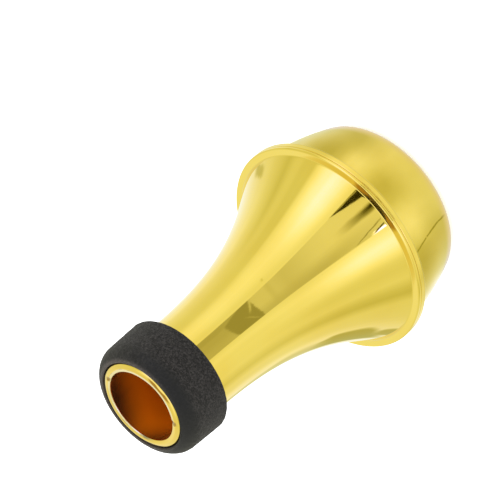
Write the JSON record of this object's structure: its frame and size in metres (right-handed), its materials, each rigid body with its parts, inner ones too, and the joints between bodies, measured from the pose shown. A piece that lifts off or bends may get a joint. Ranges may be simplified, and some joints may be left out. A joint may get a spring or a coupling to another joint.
{
  "type": "trumpet straight mute",
  "caption": "Straight mute for a trumpet: a hollow flared body with a cup-shaped end cap cemented to its flange, bright gold outside, and a black foam ring at its mouth.",
  "frame": {"origin": "middle of the flat end that the mute stands on, at table height", "axes": "+Z along the mute's axis, from the flat end up to the open mouth; the mute is turned about Z, so X and Y are free"},
  "size_m": [0.078, 0.078, 0.1242],
  "materials": {
    "gold_coated_plastic": "mirror-bright gold coating on amber plastic",
    "black_foam": "fine-grained closed-cell foam",
    "amber_cement": "hardened solvent cement"
  },
  "bodies": {
    "root": {"flared_body": "gold_coated_plastic", "end_cap": "gold_coated_plastic", "foam_ring": "black_foam", "cement_bead": "amber_cement"}
  },
  "joints": []
}
